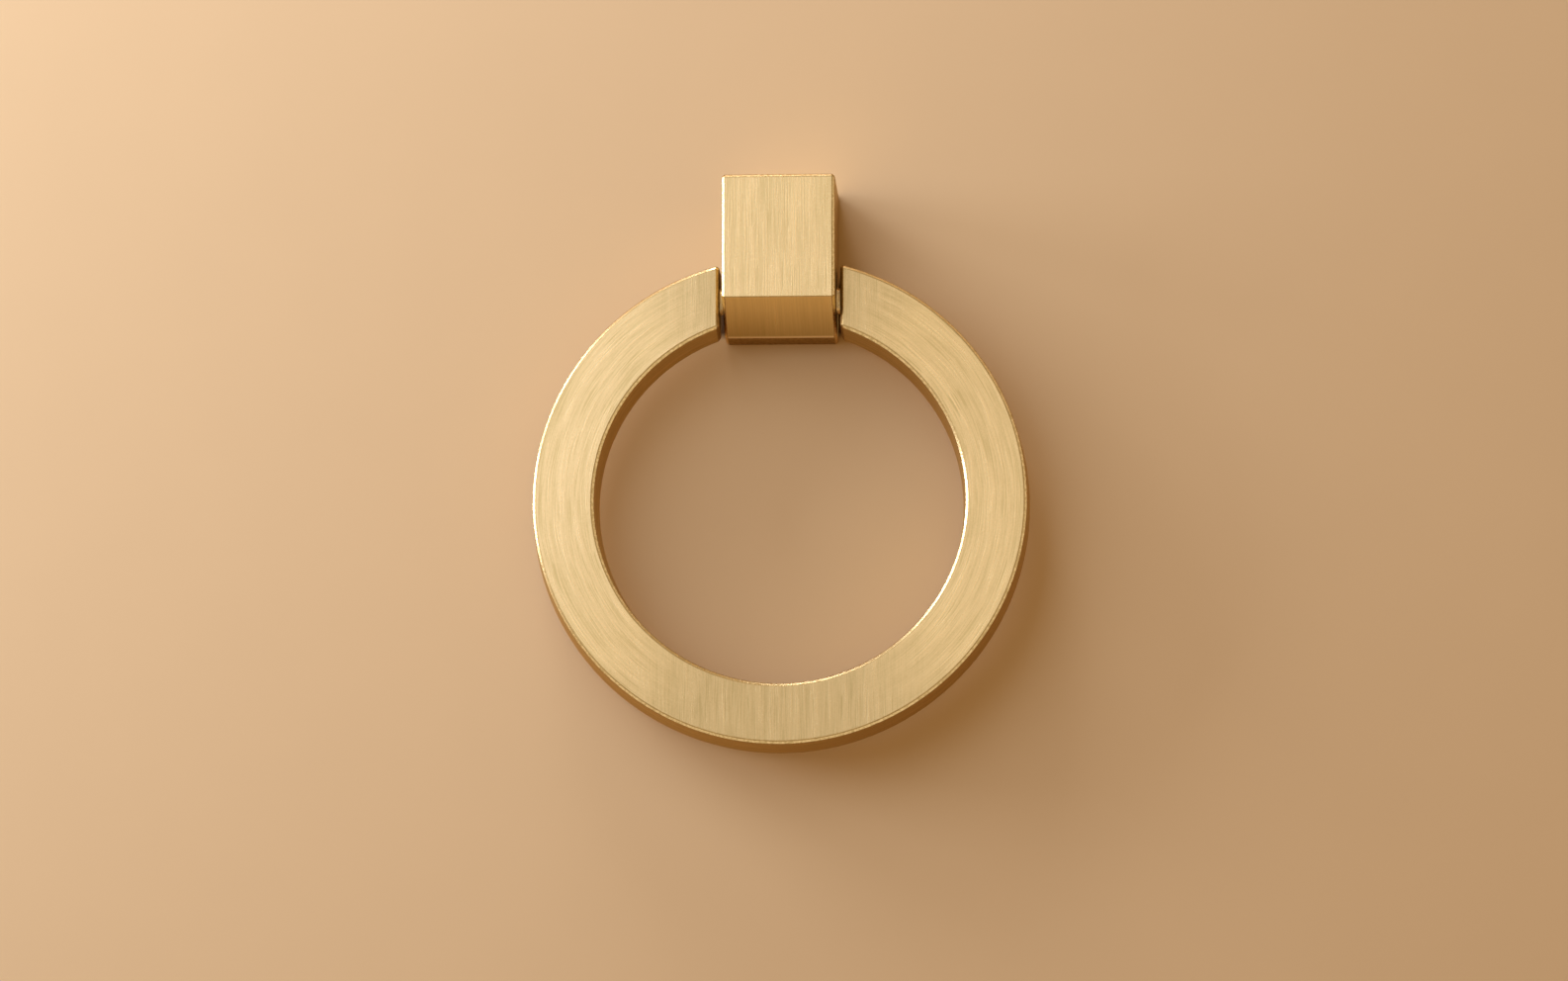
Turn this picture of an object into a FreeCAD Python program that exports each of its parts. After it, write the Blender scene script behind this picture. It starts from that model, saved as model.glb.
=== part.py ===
import FreeCAD, Part

import math
import os

from FreeCAD import Vector

# A ring pull for a drawer: a square post screwed on from behind, and an open flat ring hung on a pin through it.
# Millimetres. The origin is the middle of the post's screw hole, on the face that lies on the drawer front.
# The front faces -Y, +Z is up, and X runs along the pin.

# The ring, hanging straight down. It is cast, so its walls lean in towards the front, the inner wall more.
# The diameter and the width are those of its back, where it is largest
ring_outer_diameter = 76.0
ring_width = 10.2
ring_thickness = 7.5
ring_outer_draft_angle = 2.0
ring_inner_draft_angle = 4.3
ring_edge_bevel = 0.42
ring_wall_gap = 3.0

# The post: a block whose front has a flat face above a slope that runs back to a narrower foot
post_width = 17.3
post_face_height = 19.2
post_slope_height = 4.3
post_projection = 15.4
post_foot_depth = 5.0
post_edge_bevel = 0.42

# The pin, pressed into the post, with both ends running in blind holes in the ring's end faces
pin_diameter = 4.0
pin_above_foot = 5.3
pin_reach_in_ring = 4.6
pin_end_bevel = 0.3
pin_running_clearance = 0.05
pin_end_clearance = 0.4
side_gap = 0.6

# The screw hole in the post's back, tapped M4
screw_hole_diameter = 4.0
screw_hole_depth = 9.0
screw_mouth_bevel = 0.4
drill_point_angle = 118.0

# Sizes and places that follow from those above
ring_outer_radius = ring_outer_diameter / 2
ring_inner_radius = ring_outer_radius - ring_width
ring_middle_radius = ring_outer_radius - ring_width / 2
mouth_half_width = post_width / 2 + side_gap

post_height = post_face_height + post_slope_height
post_top = post_height / 2
post_foot = -post_height / 2

pin_height = post_foot + pin_above_foot
pin_from_wall = ring_wall_gap + ring_thickness / 2
ring_drop = math.sqrt(ring_middle_radius**2 - mouth_half_width**2)
ring_centre_height = pin_height - ring_drop


def drill(mouth, direction, diameter, depth):
    """A blind drilled hole: a cylinder from its mouth to its full depth, and the cone that the drill's point leaves."""
    radius = diameter / 2
    point_length = radius / math.tan(math.radians(drill_point_angle / 2))
    bottom = mouth + direction * depth
    hole = Part.makeCylinder(radius, depth, mouth, direction)
    point = Part.makeCone(radius, 0, point_length, bottom, direction)
    return hole.fuse(point).removeSplitter()


def lies_on(edge, axis, value):
    """Whether a straight edge lies in the plane where one coordinate has the given value."""
    return all(abs(vertex.Point[axis] - value) < 1e-6 for vertex in edge.Vertexes)


def make_post():
    """The block, cut from its side profile, with its edges bevelled, its cross bore and its tapped hole."""
    outline = [
        Vector(0, 0, post_foot),
        Vector(0, -post_foot_depth, post_foot),
        Vector(0, -post_projection, post_foot + post_slope_height),
        Vector(0, -post_projection, post_top),
        Vector(0, 0, post_top),
    ]
    side = Part.Face(Part.makePolygon(outline + outline[:1]))
    side.translate(Vector(-post_width / 2, 0, 0))
    block = side.extrude(Vector(post_width, 0, 0))

    # Every edge of the two side faces is bevelled but the ones on the drawer front, and so is the front's top edge
    bevelled = []
    for edge in block.Edges:
        on_side = lies_on(edge, 0, post_width / 2) or lies_on(edge, 0, -post_width / 2)
        on_wall = lies_on(edge, 1, 0)
        front_top = lies_on(edge, 1, -post_projection) and lies_on(edge, 2, post_top)
        if front_top or (on_side and not on_wall):
            bevelled.append(edge)
    block = block.makeChamfer(post_edge_bevel, bevelled)

    bore_start = Vector(-post_width / 2 - side_gap, -pin_from_wall, pin_height)
    bore = Part.makeCylinder(pin_diameter / 2, post_width + 2 * side_gap, bore_start, Vector(1, 0, 0))
    hole = drill(Vector(0, 0, 0), Vector(0, -1, 0), screw_hole_diameter, screw_hole_depth)
    mouth_radius = screw_hole_diameter / 2 + screw_mouth_bevel
    hole_radius = screw_hole_diameter / 2
    mouth = Part.makeCone(mouth_radius, hole_radius, screw_mouth_bevel, Vector(0, 0, 0), Vector(0, -1, 0))
    return block.cut([bore, hole, mouth])


def make_ring():
    """The open ring: a revolved section with leaning walls, cut square at its mouth, with all its edges bevelled."""
    back = -ring_wall_gap
    front = back - ring_thickness
    outer_lean = ring_thickness * math.tan(math.radians(ring_outer_draft_angle))
    inner_lean = ring_thickness * math.tan(math.radians(ring_inner_draft_angle))
    centre = Vector(0, 0, ring_centre_height)
    section = [
        centre + Vector(0, back, ring_inner_radius),
        centre + Vector(0, back, ring_outer_radius),
        centre + Vector(0, front, ring_outer_radius - outer_lean),
        centre + Vector(0, front, ring_inner_radius + inner_lean),
    ]
    face = Part.Face(Part.makePolygon(section + section[:1]))
    ring = face.revolve(centre, Vector(0, 1, 0), 360)

    # The mouth is cut through the top of the ring, from its centre up past its outer edge
    corner = Vector(-mouth_half_width, front - side_gap, ring_centre_height)
    depth = ring_thickness + 2 * side_gap
    ring = ring.cut(Part.makeBox(2 * mouth_half_width, depth, ring_outer_diameter, corner))
    ring = ring.makeChamfer(ring_edge_bevel, ring.Edges)

    # Both end faces are drilled for the pin
    hole_diameter = pin_diameter + 2 * pin_running_clearance
    hole_depth = pin_reach_in_ring + pin_end_clearance
    holes = []
    for side in (-1, 1):
        mouth = Vector(side * mouth_half_width, -pin_from_wall, pin_height)
        holes.append(drill(mouth, Vector(side, 0, 0), hole_diameter, hole_depth))
    return ring.cut(holes)


def make_pivot_pin():
    """The plain pin, as long as the gap across the ring's mouth and its reach into both ends, with bevelled ends."""
    half_length = mouth_half_width + pin_reach_in_ring
    start = Vector(-half_length, -pin_from_wall, pin_height)
    pin = Part.makeCylinder(pin_diameter / 2, 2 * half_length, start, Vector(1, 0, 0))
    rims = [edge for edge in pin.Edges if abs(edge.BoundBox.XLength) < 1e-6]
    return pin.makeChamfer(pin_end_bevel, rims)


parts = {
    "post": make_post(),
    "ring": make_ring(),
    "pivot_pin": make_pivot_pin(),
}

os.makedirs("parts", exist_ok=True)
for name, shape in parts.items():
    shape.exportStep(os.path.join("parts", name + ".step"))
    box = shape.BoundBox
    print(name, shape.isValid(), len(shape.Solids), round(shape.Volume, 2), "mm3")
    print("  x", round(box.XMin, 2), round(box.XMax, 2), "y", round(box.YMin, 2), round(box.YMax, 2))
    print("  z", round(box.ZMin, 2), round(box.ZMax, 2))
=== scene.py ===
import math
from collections import namedtuple

import bpy
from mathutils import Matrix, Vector


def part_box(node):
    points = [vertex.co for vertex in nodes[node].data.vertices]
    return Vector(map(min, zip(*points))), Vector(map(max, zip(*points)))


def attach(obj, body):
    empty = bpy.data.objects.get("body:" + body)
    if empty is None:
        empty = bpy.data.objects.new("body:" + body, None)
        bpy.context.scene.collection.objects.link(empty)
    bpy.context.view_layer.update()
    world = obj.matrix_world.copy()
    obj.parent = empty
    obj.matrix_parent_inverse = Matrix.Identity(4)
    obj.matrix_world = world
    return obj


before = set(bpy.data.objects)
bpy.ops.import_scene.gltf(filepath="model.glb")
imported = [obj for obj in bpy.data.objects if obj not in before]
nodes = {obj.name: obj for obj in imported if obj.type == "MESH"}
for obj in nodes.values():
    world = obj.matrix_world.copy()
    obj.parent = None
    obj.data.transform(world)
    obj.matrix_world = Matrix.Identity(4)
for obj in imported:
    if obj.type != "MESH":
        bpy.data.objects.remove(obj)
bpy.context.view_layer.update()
scene = bpy.context.scene

MM = 0.001

# The camera: a long lens a little below and to the right of the handle
view_right = math.radians(2.5)
view_below = math.radians(11.03)
view_distance = 2.0
view_centre = Vector((0.00045, -0.00512, -0.03556))
photo_width = 1586
photo_pixels_per_metre = 6621.2
sensor_width = 36.0
clip_end = 20.0

# Lamps: direction from the handle, distance, width, power in watts and colour. The strips stand close to the wall
# and light the bevels that face left and up
lamps = {
    "key": ((-0.60, -0.67, 0.44), 0.54, 0.60, 1.34, (0.87, 1.05, 1.48)),
    "left_strip": ((-0.96, -0.18, 0.20), 0.50, 0.16, 1.00, (0.93, 1.03, 1.30)),
    "upper_left_strip": ((-0.77, -0.18, 0.61), 0.50, 0.16, 1.00, (0.92, 1.0, 1.2)),
    "upper_strip": ((-0.20, -0.18, 0.96), 0.50, 0.16, 0.80, (0.98, 1.04, 1.24)),
}

# The pale room that the camera, metal and glass see, and the dimmer, warmer light that it gives to all else
backdrop = (0.78, 0.67, 0.53)
room_light = (0.34, 0.23, 0.11)

# The plain wall that the handle is screwed to, painted darker further out, a painted shade where the lamps stand
# close to it
wall_size = 1.2
wall_gap = 0.05 * MM
wall_inset = 0.5 * MM
wall_colour = (0.89, 0.615, 0.325)
wall_clouds = 60.0
wall_cloud_tone = 0.97
wall_roughness = 0.8
wall_shine = 0.2
wall_fade_start = 0.15
wall_fade_end = 0.45
wall_far_painted_shade = 0.40

# What metal sees of the wall: partly a plain card, a painted glow, and nothing where the ring hangs in front of it
card_glow_colour = (0.50, 0.28, 0.11)
card_glow_share = 0.10
covered_half_width = 4.2 * MM
covered_off_post = 1.5 * MM

# Painted shade: the wall is coloured dark in the gaps between the post and the ring's ends, where deep shade falls
painted_gap_shade = (0.13, 0.07, 0.03)
gap_width = 0.72 * MM
gap_fade = 0.25 * MM
gap_top_fade = 1.5 * MM
gap_foot_start = 0.8 * MM
gap_foot_end = 1.9 * MM

# Finishes of the brass: the two tones between which each varies, its roughness, and how far its brushing draws
# the highlights out
Finish = namedtuple("Finish", "dark light roughness stretch")
brass_dark = (0.65, 0.485, 0.22)
brass_light = (0.98, 0.75, 0.41)
front_finish = Finish(brass_dark, brass_light, 0.27, 0.50)
# The sides' darker tones are painted shade
shaded_side_finish = Finish((0.37, 0.245, 0.085), (0.55, 0.385, 0.145), 0.27, 0.50)
slope_finish = Finish((0.62, 0.48, 0.21), (0.86, 0.68, 0.335), 0.30, 0.30)
ring_finish = Finish(brass_dark, brass_light, 0.30, 0.40)
# The ring walls' darker tones are painted shade
cast_and_shaded_finish = Finish((0.44, 0.29, 0.105), (0.62, 0.43, 0.175), 0.36, 0.40)
# The dull finish's darker tones are painted shade
dull_shaded_finish = Finish((0.26, 0.15, 0.05), (0.40, 0.25, 0.09), 0.42, 0.0)
bevel_finish = Finish(brass_dark, brass_light, 0.27, 0.0)
# The edge line's dark tones are painted shade
shaded_line_finish = Finish((0.40, 0.26, 0.10), (0.52, 0.36, 0.15), 0.30, 0.0)
tooled_finish = Finish(brass_dark, brass_light, 0.28, 0.0)

# What all finishes share: the tint at grazing angles, how the pattern becomes tone and gloss, and its relief
grazing_tint = (0.88, 0.72, 0.48)
pattern_low = 0.37
pattern_high = 0.63
dark_roughness = 0.06
light_roughness = -0.05
relief_strength = 0.4
relief_depth = 0.02 * MM

# Brushed lines: their size, how far they wander, and the shares of soft bands and of grain in the pattern
line_width = 0.22 * MM
line_length = 7.0 * MM
line_wander = 0.35 * MM
band_share = 0.38
band_shape = (0.14, 1.0, 0.4)
grain_share = 0.16
grain_size = 0.16 * MM
scratch_shape = (0.9, 1.0, 0.45)
scratch_scale = 1.7
scratch_start = 0.67
scratch_full = 0.72

# Tool marks: their spacing, and how far they run on
tool_spacing = 0.08 * MM
tool_run = 2.0 * MM

# The slope is brushed more faintly. It is painted lighter towards its top and darker at its foot, as painted shade,
# and painted bright along its foot and its sides: painted highlights, on brass that is rubbed there
slope_faint_low = 0.22
slope_faint_high = 0.78
slope_foot_painted_shade = 0.80
slope_top_painted_light = 1.28
slope_height = 4.3 * MM
wear_and_highlight_tone = (1.0, 0.86, 0.60)
wear_and_highlight_foot_start = 0.14 * MM
wear_and_highlight_foot_end = 0.22 * MM
wear_and_highlight_side_start = 0.62 * MM
wear_and_highlight_side_end = 0.5 * MM

# The ring's lines run upright at its foot and at its ends, which are painted darker as shade. The angles are
# radians from the foot
ring_middle_radius = 33.0 * MM
foot_upright_until = 0.38
foot_round_from = 0.85
end_round_until = 2.50
end_upright_from = 2.80
end_upright_share = 0.85
upright_painted_shade = 0.81

# The post's thread, M4. Its profile is how far each point stands in from the hole's wall, and where it lies
# along the hole, in turns
thread_radius = 2.0 * MM
thread_depth = 0.38 * MM
thread_pitch = 0.7 * MM
thread_start = 0.5 * MM
thread_end = 8.4 * MM
thread_steps = 36
thread_profile = [
    (0.02 * MM, -0.42),
    (-0.12 * thread_depth, -0.40),
    (-thread_depth, -0.07),
    (-thread_depth, 0.07),
    (-0.12 * thread_depth, 0.40),
    (0.02 * MM, 0.42),
]

# How much sharp edges are rounded off, and which edges count as sharp
edge_rounding = {"post": 0.11 * MM, "ring": 0.11 * MM, "pivot_pin": 0.08 * MM}
rounding_steps = 3
sharp_angle = math.radians(28)
weld_distance = 0.001 * MM
flat_face_weight = 60

# Where the holes' faces lie: within these radii of their axes, and no further in than these places
screw_mouth_radius = 2.45 * MM
screw_hole_end = -13.0 * MM
cross_bore_radius = 2.02 * MM
end_bore_radius = 2.06 * MM
end_bore_reach = 16.0 * MM
ring_end_reach = 1.1 * MM

# A face looks along an axis where its normal has at least this share along it
square_on = 0.995

# Places that the frame gives
ring_low, ring_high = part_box("ring")
post_low, post_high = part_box("post")
pin_low, pin_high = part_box("pivot_pin")
ring_radius = (ring_high.x - ring_low.x) / 2
ring_centre = Vector((0, (ring_low.y + ring_high.y) / 2, ring_low.z + ring_radius))
pin_axis = Vector((0, (pin_low.y + pin_high.y) / 2, (pin_low.z + pin_high.z) / 2))


class NodeTree:
    """A node tree, with short calls for the nodes that the world and the materials share."""

    def __init__(self, tree):
        self.tree = tree

    def add(self, kind, **settings):
        node = self.tree.nodes.new(kind)
        for name, value in settings.items():
            setattr(node, name, value)
        return node

    def link(self, output, socket):
        self.tree.links.new(output, socket)

    def put(self, socket, value):
        if isinstance(value, bpy.types.NodeSocket):
            self.link(value, socket)
        else:
            socket.default_value = value

    def math(self, operation, a, b=0.0):
        node = self.add("ShaderNodeMath", operation=operation)
        self.put(node.inputs[0], a)
        self.put(node.inputs[1], b)
        return node.outputs[0]

    def mix(self, factor, first, second):
        node = self.add("ShaderNodeMixShader")
        for socket, output in zip(node.inputs, (factor, first, second)):
            self.link(output, socket)
        return node.outputs[0]


class Shader(NodeTree):
    """A material's node tree, with short calls for the patterns of the finishes."""

    def __init__(self, name):
        self.material = bpy.data.materials.new(name)
        self.material.use_nodes = True
        super().__init__(self.material.node_tree)
        self.bsdf = self.tree.nodes["Principled BSDF"]
        self.position = self.add("ShaderNodeTexCoord").outputs["Object"]

    def vector(self, operation, a, b=None):
        node = self.add("ShaderNodeVectorMath", operation=operation)
        self.put(node.inputs[0], a)
        if b is not None:
            self.put(node.inputs["Scale" if operation == "SCALE" else 1], b)
        return node.outputs["Value" if operation == "LENGTH" else "Vector"]

    def xyz(self, vector):
        node = self.add("ShaderNodeSeparateXYZ")
        self.link(vector, node.inputs[0])
        return node.outputs

    def join(self, x, y, z):
        node = self.add("ShaderNodeCombineXYZ")
        for socket, value in zip(node.inputs, (x, y, z)):
            self.put(socket, value)
        return node.outputs[0]

    def noise(self, vector, scale, detail, roughness=0.5):
        node = self.add("ShaderNodeTexNoise")
        self.link(vector, node.inputs["Vector"])
        node.inputs["Scale"].default_value = scale
        node.inputs["Detail"].default_value = detail
        node.inputs["Roughness"].default_value = roughness
        return node.outputs["Fac"]

    def spread(self, value, low, high, to_low=0.0, to_high=1.0):
        node = self.add("ShaderNodeMapRange", clamp=True)
        for socket, x in zip(node.inputs, (value, low, high, to_low, to_high)):
            self.put(socket, x)
        return node.outputs[0]

    def blend(self, factor, a, b):
        node = self.add("ShaderNodeMix", data_type="FLOAT")
        self.put(node.inputs["Factor"], factor)
        self.put(node.inputs[2], a)
        self.put(node.inputs[3], b)
        return node.outputs[0]

    def blend_colour(self, factor, a, b):
        node = self.add("ShaderNodeMix", data_type="RGBA")
        self.put(node.inputs["Factor"], factor)
        self.put(node.inputs[6], a)
        self.put(node.inputs[7], b)
        return node.outputs[2]

    def bump(self, height, strength, distance):
        node = self.add("ShaderNodeBump")
        self.link(height, node.inputs["Height"])
        node.inputs["Strength"].default_value = strength
        node.inputs["Distance"].default_value = distance
        self.link(node.outputs[0], self.bsdf.inputs["Normal"])

    def world(self, vector):
        """A direction in the piece's own frame, turned as the piece turns."""
        node = self.add(
            "ShaderNodeVectorTransform",
            vector_type="VECTOR",
            convert_from="OBJECT",
            convert_to="WORLD",
        )
        self.put(node.inputs[0], vector)
        return node.outputs[0]


def brushed_lines(shader, across, along):
    """The pattern of brushed lines, from hairlines to soft bands, and the few deep scratches among them."""
    wander = shader.math("MULTIPLY", shader.noise(shader.position, 1 / line_length, 1.0), line_wander)
    lines = shader.join(
        shader.math("DIVIDE", shader.math("ADD", across, wander), line_width),
        0.0,
        shader.math("DIVIDE", along, line_length),
    )
    hair = shader.noise(lines, 1.0, 3.0, 0.6)
    band = shader.noise(shader.vector("MULTIPLY", lines, band_shape), 1.0, 1.0)
    grain = shader.noise(shader.position, 1 / grain_size, 1.0)
    tone = shader.blend(grain_share, shader.blend(band_share, hair, band), grain)
    rare = shader.noise(shader.vector("MULTIPLY", lines, scratch_shape), scratch_scale, 0.0)
    return tone, shader.spread(rare, scratch_start, scratch_full)


def finish_brass(shader, finish, tone, scratch=0.0, tangent=None):
    """Satin brass whose colour, gloss and relief follow a pattern. Gives back the colour."""
    level = shader.spread(tone, pattern_low, pattern_high)
    level = shader.math("MULTIPLY", level, shader.math("SUBTRACT", 1.0, scratch))
    colour = shader.blend_colour(level, (*finish.dark, 1), (*finish.light, 1))
    roughest = finish.roughness + dark_roughness
    smoothest = finish.roughness + light_roughness
    shader.link(colour, shader.bsdf.inputs["Base Color"])
    shader.link(shader.spread(level, 0.0, 1.0, roughest, smoothest), shader.bsdf.inputs["Roughness"])
    shader.bsdf.inputs["Metallic"].default_value = 1.0
    shader.bsdf.inputs["Specular Tint"].default_value = (*grazing_tint, 1)
    shader.bsdf.inputs["Anisotropic"].default_value = finish.stretch
    shader.bump(level, relief_strength, relief_depth)
    if tangent is not None:
        shader.link(shader.world(tangent), shader.bsdf.inputs["Tangent"])
    return colour


def front_brushed():
    """The post's front, top and back: lines that run straight up and down."""
    shader = Shader("brass_front_brushed")
    x, y, z = shader.xyz(shader.position)
    tone, scratch = brushed_lines(shader, x, z)
    finish_brass(shader, front_finish, tone, scratch, (1.0, 0.0, 0.0))
    return shader.material


def side_brushed():
    """The post's sides: the same upright lines, on a darker tone, painted shade."""
    shader = Shader("brass_side_shaded_brushed")
    x, y, z = shader.xyz(shader.position)
    tone, scratch = brushed_lines(shader, y, z)
    finish_brass(shader, shaded_side_finish, tone, scratch, (0.0, 1.0, 0.0))
    return shader.material


def slope_brushed():
    """The slope under the post's face: fainter lines, painted shade, and painted highlights of rubbed brass at its
    edges.
    """
    shader = Shader("brass_slope_brushed")
    x, y, z = shader.xyz(shader.position)
    tone, scratch = brushed_lines(shader, x, z)
    tone = shader.spread(tone, 0.0, 1.0, slope_faint_low, slope_faint_high)
    plain = finish_brass(shader, slope_finish, tone, tangent=(1.0, 0.0, 0.0))
    slope_top = post_low.z + slope_height
    # Painted shade: darker towards the slope's foot, lighter towards its top
    plain = shader.vector("SCALE", plain, shader.spread(z, post_low.z, slope_top, slope_foot_painted_shade, slope_top_painted_light))
    # Painted highlights, on brass that is rubbed there, along the slope's foot and sides
    foot = shader.spread(z, post_low.z + wear_and_highlight_foot_start, post_low.z + wear_and_highlight_foot_end, 1.0, 0.0)
    off_middle = shader.math("ABSOLUTE", x)
    sides = shader.spread(off_middle, post_high.x - wear_and_highlight_side_start, post_high.x - wear_and_highlight_side_end)
    colour = shader.blend_colour(shader.math("MAXIMUM", foot, sides), plain, (*wear_and_highlight_tone, 1))
    shader.link(colour, shader.bsdf.inputs["Base Color"])
    return shader.material


def round_the_ring(shader):
    """A point's place on the ring: from the ring's centre, and its angle from the foot."""
    offset = shader.vector("SUBTRACT", shader.position, tuple(ring_centre))
    x, y, z = shader.xyz(offset)
    return x, y, z, shader.math("ARCTAN2", x, shader.math("MULTIPLY", z, -1.0))


def round_brushed():
    """The ring's flat faces: lines that follow the ring, but run upright at its foot and at its ends, painted
    darker there as shade.
    """
    shader = Shader("brass_round_brushed")
    x, y, z, angle = round_the_ring(shader)
    flat = shader.join(x, 0.0, z)
    way_round = shader.math("MULTIPLY", angle, ring_middle_radius)
    turn = shader.math("ABSOLUTE", angle)
    foot = shader.spread(turn, foot_upright_until, foot_round_from, 1.0, 0.0)
    ends = shader.spread(turn, end_round_until, end_upright_from, 0.0, end_upright_share)
    upright = shader.math("MAXIMUM", foot, ends)
    round_tone, round_scratch = brushed_lines(shader, shader.vector("LENGTH", flat), way_round)
    upright_tone, upright_scratch = brushed_lines(shader, x, z)
    tone = shader.blend(upright, round_tone, upright_tone)
    scratch = shader.blend(upright, round_scratch, upright_scratch)
    plain = finish_brass(shader, ring_finish, tone, scratch, shader.vector("NORMALIZE", flat))
    # Painted shade: darker where the lines run upright
    shaded_tone = shader.spread(upright, 0.0, 1.0, 1.0, upright_painted_shade)
    shader.link(shader.vector("SCALE", plain, shaded_tone), shader.bsdf.inputs["Base Color"])
    return shader.material


def wall_brushed():
    """The ring's leaning walls: lines that run round the ring, on a darker tone, painted shade."""
    shader = Shader("brass_wall_brushed")
    x, y, z, angle = round_the_ring(shader)
    tone, scratch = brushed_lines(shader, y, shader.math("MULTIPLY", angle, ring_middle_radius))
    finish_brass(shader, cast_and_shaded_finish, tone, scratch, (0.0, 1.0, 0.0))
    return shader.material


def clouded(name, finish, size):
    """Metal without lines, softly clouded."""
    shader = Shader(name)
    finish_brass(shader, finish, shader.noise(shader.position, 1 / size, 3.0, 0.6))
    return shader.material


def dull_and_shaded():
    """The post's underside and the ring's end faces, left duller than the rest, and darker as painted shade."""
    return clouded("brass_dull_shaded", dull_shaded_finish, 0.5 * MM)


def bevelled_edge():
    """The narrow bevels: cut after the brushing, so they are smoother."""
    return clouded("brass_bevelled_edge", bevel_finish, 0.4 * MM)


def shaded_edge_line():
    """The thin line where a bevel meets a face, darker as painted shade."""
    return clouded("brass_shaded_edge_line", shaded_line_finish, 0.8 * MM)


def tooled(name, axis):
    """Bare metal with the fine rings that a tool leaves, square to the axis 0, 1 or 2."""
    shader = Shader(name)
    sizes = [tool_run, tool_run, tool_run]
    sizes[axis] = tool_spacing
    places = zip(shader.xyz(shader.position), sizes)
    rings = shader.join(*(shader.math("DIVIDE", place, size) for place, size in places))
    finish_brass(shader, tooled_finish, shader.noise(rings, 1.0, 2.0))
    return shader.material


def turned():
    """The pin, and the holes that it runs through."""
    return tooled("brass_turned", 0)


def bored():
    """The inside of the screw hole, and its thread."""
    return tooled("brass_bored", 1)


def give_materials(piece, materials, choose):
    """Gives each face of a piece the material that choose() names for it."""
    piece.data.materials.clear()
    names = list(materials)
    for name in names:
        piece.data.materials.append(materials[name])
    for face in piece.data.polygons:
        face.material_index = names.index(choose(face.center, face.normal))


def round_edges(piece, width, line):
    """Rounds a CAD piece's sharp edges off a little, without moving its own points. They get the darker line, a
    painted shade.
    """
    piece.data.materials.append(line)
    for face in piece.data.polygons:
        face.use_smooth = True
    weld = piece.modifiers.new("weld", "WELD")
    weld.merge_threshold = weld_distance
    bevel = piece.modifiers.new("rounding", "BEVEL")
    bevel.width = width
    bevel.segments = rounding_steps
    bevel.limit_method = "ANGLE"
    bevel.angle_limit = sharp_angle
    bevel.use_clamp_overlap = False
    bevel.material = len(piece.data.materials) - 1
    normals = piece.modifiers.new("normals", "WEIGHTED_NORMAL")
    normals.mode = "FACE_AREA"
    normals.weight = flat_face_weight
    normals.keep_sharp = False


def near_pin_axis(point, radius):
    return math.hypot(point.y - pin_axis.y, point.z - pin_axis.z) < radius


def post_face(centre, normal):
    """Names the place on the post that a face belongs to."""
    near_hole = math.hypot(centre.x, centre.z) < screw_mouth_radius and centre.y > screw_hole_end
    if near_hole and abs(normal.y) < 0.99:
        return "bore"
    if near_pin_axis(centre, cross_bore_radius) and abs(normal.x) < 0.5:
        return "cross_bore"
    if abs(normal.x) > square_on:
        return "side"
    if normal.z < -square_on:
        return "under"
    if abs(normal.x) < 0.01 and normal.y < -0.2 and normal.z < -0.8:
        return "slope"
    return "front" if max(abs(normal.y), abs(normal.z)) > square_on else "edge"


def ring_face(centre, normal):
    """Names the place on the ring that a face belongs to."""
    near_bore = near_pin_axis(centre, end_bore_radius) and abs(centre.x) < end_bore_reach
    if near_bore and abs(normal.x) < 0.95:
        return "bore"
    if abs(normal.x) > 0.5 and abs(centre.x) < post_high.x + ring_end_reach:
        return "end"
    if abs(normal.y) > 0.99:
        return "flat"
    return "wall" if abs(normal.y) < 0.2 else "edge"


def make_thread(material):
    """The thread in the post's screw hole: one long ridge, wound round the inside of the hole."""
    count = int((thread_end - thread_start) / thread_pitch * thread_steps) + 1
    fade_steps = 0.5 * thread_steps
    points = []
    for i in range(count):
        angle = 2 * math.pi * i / thread_steps
        fade = min(1.0, i / fade_steps, (count - 1 - i) / fade_steps)
        depth_here = thread_start + thread_pitch * i / thread_steps
        for inward, offset in thread_profile:
            radius = thread_radius + (inward * fade if inward < 0 else inward)
            depth = depth_here + offset * thread_pitch
            points.append((radius * math.cos(angle), -depth, radius * math.sin(angle)))
    width = len(thread_profile)
    faces = []
    for i in range(count - 1):
        for j in range(width - 1):
            a = i * width + j
            faces.append((a, a + 1, a + width + 1, a + width))
    faces.append(tuple(range(width)))
    faces.append(tuple(reversed(range((count - 1) * width, count * width))))
    mesh = bpy.data.meshes.new("screw_thread")
    mesh.from_pydata(points, [], faces)
    mesh.materials.append(material)
    for face in mesh.polygons:
        face.use_smooth = len(face.vertices) == 4
    thread = bpy.data.objects.new("screw_thread", mesh)
    scene.collection.objects.link(thread)
    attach(thread, "holder")


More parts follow.
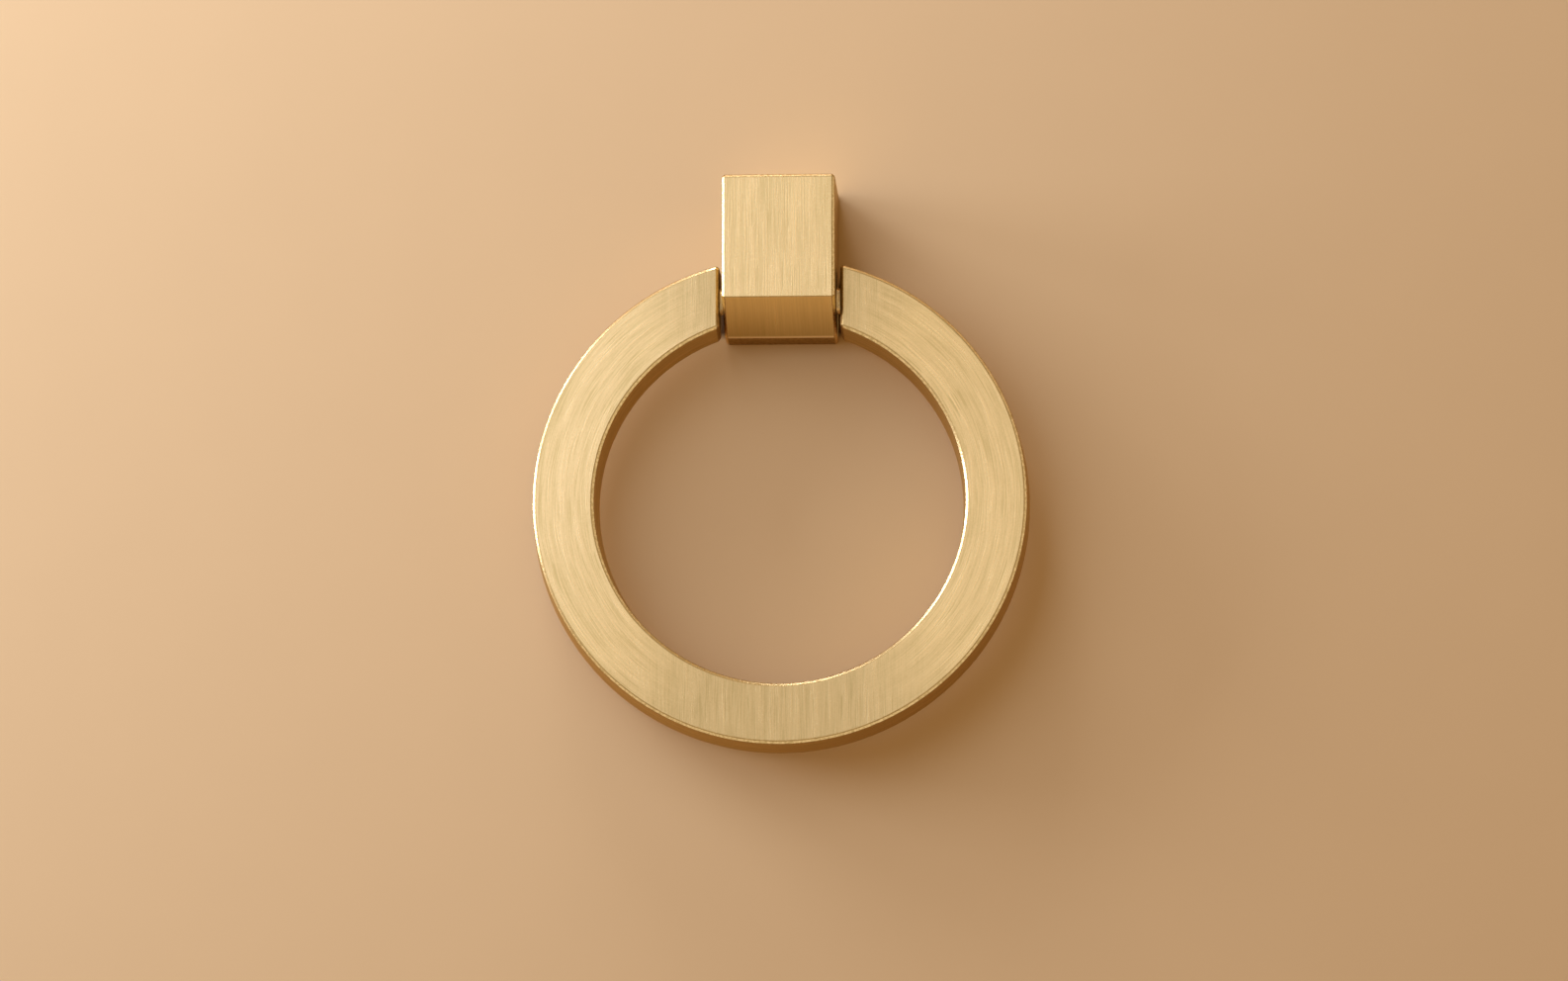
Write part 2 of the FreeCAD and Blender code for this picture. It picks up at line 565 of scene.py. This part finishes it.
def wall_surface():
    """The wall's paint, with painted shade in the gaps beside the post and further out, and a painted glow that
    metal sees. It shows from the front only, and metal doesn't see the part that the ring covers.
    """
    shader = Shader("pale_wall")
    clouds = shader.noise(shader.position, wall_clouds, 3.0)
    cloud_colour = tuple(wall_cloud_tone * part for part in wall_colour)
    colour = shader.blend_colour(clouds, (*cloud_colour, 1), (*wall_colour, 1))
    # Painted shade: the wall's colour is darkened further from the handle
    from_centre = shader.vector("SUBTRACT", shader.position, (0.0, wall_gap, ring_centre.z))
    far = shader.vector("LENGTH", from_centre)
    fade = shader.spread(far, wall_fade_start, wall_fade_end, 1.0, wall_far_painted_shade)
    colour = shader.vector("SCALE", colour, fade)

    # Painted shade: the wall is coloured dark in the gaps beside the post, below the ring's top and above the
    # post's foot
    x, y, z = shader.xyz(shader.position)
    aside = shader.math("SUBTRACT", shader.math("ABSOLUTE", x), post_high.x)
    in_gap = shader.spread(aside, gap_width, gap_width + gap_fade, 1.0, 0.0)
    below_top = shader.spread(z, ring_high.z - gap_top_fade, ring_high.z, 1.0, 0.0)
    above_foot = shader.spread(z, post_low.z + gap_foot_start, post_low.z + gap_foot_end)
    in_gap = shader.math("MULTIPLY", shader.math("MULTIPLY", in_gap, below_top), above_foot)
    colour = shader.blend_colour(in_gap, colour, (*painted_gap_shade, 1))
    shader.link(colour, shader.bsdf.inputs["Base Color"])
    shader.bsdf.inputs["Roughness"].default_value = wall_roughness
    shader.bsdf.inputs["Specular IOR Level"].default_value = wall_shine

    # The card is a painted glow that metal sees in the wall. It keeps the back of the handle from being lost in its
    # own shadow
    card = shader.add("ShaderNodeEmission")
    card.inputs["Color"].default_value = (*card_glow_colour, 1)
    card.inputs["Strength"].default_value = 1.0
    glossy = shader.add("ShaderNodeLightPath").outputs["Is Glossy Ray"]
    share = shader.math("MULTIPLY", glossy, card_glow_share)
    seen = shader.mix(share, shader.bsdf.outputs[0], card.outputs[0])

    off_middle = shader.math("ABSOLUTE", shader.math("SUBTRACT", far, ring_middle_radius))
    off_post = shader.math("GREATER_THAN", aside, covered_off_post)
    by_ring = shader.math("MAXIMUM", off_post, shader.math("LESS_THAN", z, ring_centre.z))
    covered = shader.math("MULTIPLY", shader.math("LESS_THAN", off_middle, covered_half_width), by_ring)
    covered = shader.math("MULTIPLY", covered, glossy)
    behind = shader.add("ShaderNodeNewGeometry").outputs["Backfacing"]
    clear = shader.add("ShaderNodeBsdfTransparent").outputs[0]
    surface = shader.mix(shader.math("MAXIMUM", behind, covered), seen, clear)
    shader.link(surface, shader.tree.nodes["Material Output"].inputs["Surface"])
    return shader.material


def make_wall():
    """The wall, with a hole behind the post, so that light reaches the post's back."""
    half = wall_size / 2
    outer = [(-half, -half), (half, -half), (half, half), (-half, half)]
    left, right = post_low.x + wall_inset, post_high.x - wall_inset
    bottom, top = post_low.z + wall_inset, post_high.z - wall_inset
    inner = [(left, bottom), (right, bottom), (right, top), (left, top)]
    points = [(x, wall_gap, z) for x, z in outer + inner]
    faces = [(k, (k + 1) % 4, 4 + (k + 1) % 4, 4 + k) for k in range(4)]
    mesh = bpy.data.meshes.new("wall")
    mesh.from_pydata(points, [], faces)
    mesh.materials.append(wall_surface())
    wall = bpy.data.objects.new("wall", mesh)
    scene.collection.objects.link(wall)


def make_lamp(name, direction, distance, size, power, colour):
    """A square soft lamp that faces the handle."""
    direction = Vector(direction).normalized()
    lamp = bpy.data.lights.new(name, "AREA")
    lamp.shape = "SQUARE"
    lamp.size = size
    lamp.energy = power
    lamp.color = colour
    piece = bpy.data.objects.new(name, lamp)
    piece.location = Vector((0, 0, ring_centre.z)) + direction * distance
    piece.rotation_euler = (-direction).to_track_quat("-Z", "Y").to_euler()
    scene.collection.objects.link(piece)


def make_world():
    """The room. Metal that is itself seen by the wall gets the dimmer light, so that it doesn't glow there."""
    world = bpy.data.worlds.new("studio")
    scene.world = world
    world.use_nodes = True
    room = NodeTree(world.node_tree)
    path = room.add("ShaderNodeLightPath").outputs
    direct = room.math("LESS_THAN", path["Diffuse Depth"], 0.5)
    seen = room.math("MAXIMUM", path["Is Camera Ray"], room.math("MULTIPLY", path["Is Glossy Ray"], direct))
    seen = room.math("MAXIMUM", seen, path["Is Transmission Ray"])
    light = room.tree.nodes["Background"]
    light.inputs["Color"].default_value = (*room_light, 1)
    plain = room.add("ShaderNodeBackground")
    plain.inputs["Color"].default_value = (*backdrop, 1)
    surface = room.mix(seen, light.outputs[0], plain.outputs[0])
    room.link(surface, room.tree.nodes["World Output"].inputs["Surface"])


def make_camera():
    """The camera, at the photo's viewing angle and framing."""
    toward = Vector((
        math.sin(view_right) * math.cos(view_below),
        -math.cos(view_right) * math.cos(view_below),
        -math.sin(view_below),
    ))
    data = bpy.data.cameras.new("camera")
    data.sensor_width = sensor_width
    data.lens = sensor_width * view_distance * photo_pixels_per_metre / photo_width
    data.clip_end = clip_end
    camera = bpy.data.objects.new("camera", data)
    camera.location = view_centre + toward * view_distance
    camera.rotation_euler = (-toward).to_track_quat("-Z", "Y").to_euler()
    scene.collection.objects.link(camera)
    scene.camera = camera


bevels = bevelled_edge()
dull_and_shaded_skin = dull_and_shaded()
pin_skin = turned()
hole_skin = bored()

post_materials = {
    "front": front_brushed(),
    "side": side_brushed(),
    "slope": slope_brushed(),
    "under": dull_and_shaded_skin,
    "edge": bevels,
    "bore": hole_skin,
    "cross_bore": pin_skin,
}
ring_materials = {
    "flat": round_brushed(),
    "wall": wall_brushed(),
    "end": dull_and_shaded_skin,
    "edge": bevels,
    "bore": pin_skin,
}
give_materials(nodes["post"], post_materials, post_face)
give_materials(nodes["ring"], ring_materials, ring_face)
give_materials(nodes["pivot_pin"], {"pin": pin_skin}, lambda centre, normal: "pin")

# The rounded edges get a line of painted shade
line = shaded_edge_line()
for name, width in edge_rounding.items():
    round_edges(nodes[name], width, line)
make_thread(hole_skin)

make_wall()
make_world()
for name, (direction, distance, size, power, colour) in lamps.items():
    make_lamp(name, direction, distance, size, power, colour)
make_camera()
scene.view_settings.view_transform = "Standard"
